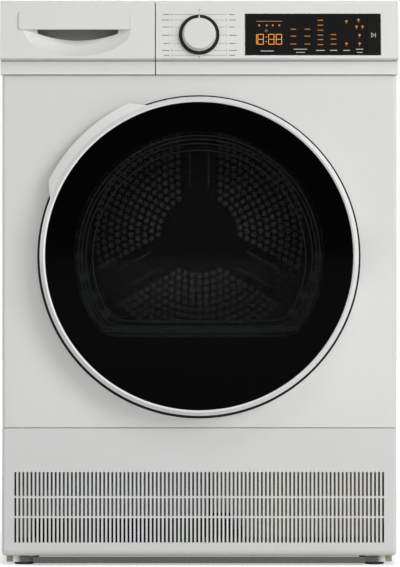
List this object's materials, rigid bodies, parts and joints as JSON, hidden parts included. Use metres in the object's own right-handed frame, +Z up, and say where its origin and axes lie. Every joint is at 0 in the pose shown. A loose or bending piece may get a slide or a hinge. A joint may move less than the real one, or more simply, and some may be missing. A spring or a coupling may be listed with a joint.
{
  "type": "clothes dryer",
  "caption": "Free-standing condenser clothes dryer with a round glazed door, drum, water tank drawer, programme knob, display and hinged kick plate.",
  "frame": {"origin": "on the floor, under the middle of the machine's box", "axes": "+Z up, -Y out of the front, +X to the right of someone facing the front"},
  "size_m": [0.597, 0.6, 0.85],
  "materials": {
    "white_enamel": "satin enamel",
    "white_plastic": "fine moulded satin",
    "worktop_laminate": "fine grained laminate",
    "display_black": "polished",
    "door_dark_glass": "polished smoked glass",
    "bowl_clear_glass": "polished clear glass",
    "black_plastic": "moulded matte",
    "grey_plastic": "moulded matte",
    "base_plastic": "moulded matte",
    "lever_plastic": "moulded matte",
    "filter_plastic": "frame with fine mesh",
    "rubber": "matte rubber",
    "felt": "pressed felt",
    "stainless": "brushed",
    "galvanised": "zinc coated",
    "aluminium": "plain mill finish",
    "board_green": "circuit board"
  },
  "bodies": {
    "cabinet": {"base_pan": "base_plastic", "condensate_hose": "rubber", "condensate_pump": "black_plastic", "control_module": "black_plastic", "control_panel": "white_plastic", "cross_rail": "galvanised", "display_board": "board_green", "display_glass": "display_black", "door_catch": "grey_plastic", "door_hinge_bracket": "galvanised", "door_hinge_pin": "galvanised", "door_seal": "rubber", "drawer_tray": "grey_plastic", "drive_belt": "rubber", "drum_felt": "felt", "duct_cover": "galvanised", "fan_housing": "black_plastic", "front_bulkhead": "grey_plastic", "front_panel": "white_enamel", "heat_exchanger": "aluminium", "heater": "aluminium", "idler_arm": "galvanised", "lint_filter": "filter_plastic", "mains_gland": "black_plastic", "motor": "aluminium", "motor_bracket": "galvanised", "rear_bearing": "galvanised", "rear_panel": "galvanised", "rear_screws": "galvanised", "side_panel_left": "white_enamel", "side_panel_right": "white_enamel", "worktop": "worktop_laminate"},
    "door": {"door_ring": "white_plastic", "door_glass": "door_dark_glass", "door_frame": "grey_plastic", "door_bowl": "bowl_clear_glass", "door_hinge_leaf": "galvanised", "door_hook": "grey_plastic"},
    "drawer": {"drawer_front": "white_plastic", "drawer_handle_plate": "white_plastic", "water_tank": "grey_plastic"},
    "knob": {"program_knob": "white_plastic", "knob_skirt": "black_plastic"},
    "start_button": {"start_key": "display_black"},
    "kick_cover": {"kick_plate": "white_plastic"},
    "drum": {"drum_shell": "stainless", "drum_back": "stainless", "drum_lifters": "grey_plastic"},
    "rotor": {"motor_shaft": "galvanised", "process_fan": "black_plastic", "cooling_fan": "black_plastic"},
    "idler": {"idler_pulley": "rubber"},
    "roller_left": {"drum_roller_left": "rubber"},
    "roller_right": {"drum_roller_right": "rubber"},
    "lever_left": {"exchanger_lever_left": "lever_plastic"},
    "lever_right": {"exchanger_lever_right": "lever_plastic"},
    "foot_1": {"foot_front_left": "rubber"},
    "foot_2": {"foot_front_right": "rubber"},
    "foot_3": {"foot_rear_left": "rubber"},
    "foot_4": {"foot_rear_right": "rubber"}
  },
  "joints": [
    {"name": "door_hinge", "type": "hinge", "parent": "cabinet", "child": "door", "pos_m": [0.225, -0.284, 0.465], "axis": [0, 0, 1], "range_deg": [0, 110]},
    {"name": "drawer_slide", "type": "slide", "parent": "cabinet", "child": "drawer", "axis": [0, -1, 0], "range_m": [0, 0.4]},
    {"name": "knob_turn", "type": "hinge", "parent": "cabinet", "child": "knob", "pos_m": [0, -0.27322, 0.797], "axis": [0, -0.9945, 0.1045], "continuous": true},
    {"name": "key_press", "type": "slide", "parent": "cabinet", "child": "start_button", "axis": [0, 0.9945, -0.1045], "range_m": [0, 0.0012], "stiffness_N_per_m": 800},
    {"name": "kick_hinge", "type": "hinge", "parent": "cabinet", "child": "kick_cover", "pos_m": [0, -0.2525, 0.0235], "axis": [1, 0, 0], "range_deg": [0, 85]},
    {"name": "drum_spin", "type": "hinge", "parent": "cabinet", "child": "drum", "pos_m": [0, 0, 0.508], "axis": [0, 1, 0], "continuous": true},
    {"name": "rotor_spin", "type": "hinge", "parent": "cabinet", "child": "rotor", "pos_m": [0.17, 0, 0.115], "axis": [0, 1, 0], "continuous": true},
    {"name": "idler_spin", "type": "hinge", "parent": "cabinet", "child": "idler", "pos_m": [0.06497, 0, 0.13617], "axis": [0, 1, 0], "continuous": true},
    {"name": "roller_left_spin", "type": "hinge", "parent": "cabinet", "child": "roller_left", "pos_m": [-0.15841, 0, 0.30524], "axis": [0, 1, 0], "continuous": true},
    {"name": "roller_right_spin", "type": "hinge", "parent": "cabinet", "child": "roller_right", "pos_m": [0.15841, 0, 0.30524], "axis": [0, 1, 0], "continuous": true},
    {"name": "lever_left_turn", "type": "hinge", "parent": "cabinet", "child": "lever_left", "pos_m": [-0.225, -0.222, 0.117], "axis": [0, 1, 0], "range_deg": [0, 90]},
    {"name": "lever_right_turn", "type": "hinge", "parent": "cabinet", "child": "lever_right", "pos_m": [-0.012, -0.222, 0.117], "axis": [0, 1, 0], "range_deg": [-90, 0]},
    {"name": "foot_1_screw", "type": "hinge", "parent": "cabinet", "child": "foot_1", "pos_m": [-0.265, -0.233, 0], "axis": [0, 0, 1], "continuous": true},
    {"name": "foot_2_screw", "type": "hinge", "parent": "cabinet", "child": "foot_2", "pos_m": [0.265, -0.233, 0], "axis": [0, 0, 1], "continuous": true},
    {"name": "foot_3_screw", "type": "hinge", "parent": "cabinet", "child": "foot_3", "pos_m": [-0.265, 0.225, 0], "axis": [0, 0, 1], "continuous": true},
    {"name": "foot_4_screw", "type": "hinge", "parent": "cabinet", "child": "foot_4", "pos_m": [0.265, 0.225, 0], "axis": [0, 0, 1], "continuous": true}
  ],
  "couplings": [
    {"joint": "rotor_spin", "follows": "drum_spin", "ratio": 20.403},
    {"joint": "idler_spin", "follows": "drum_spin", "ratio": -15.25},
    {"joint": "roller_left_spin", "follows": "drum_spin", "ratio": -9.28},
    {"joint": "roller_right_spin", "follows": "drum_spin", "ratio": -9.28}
  ]
}
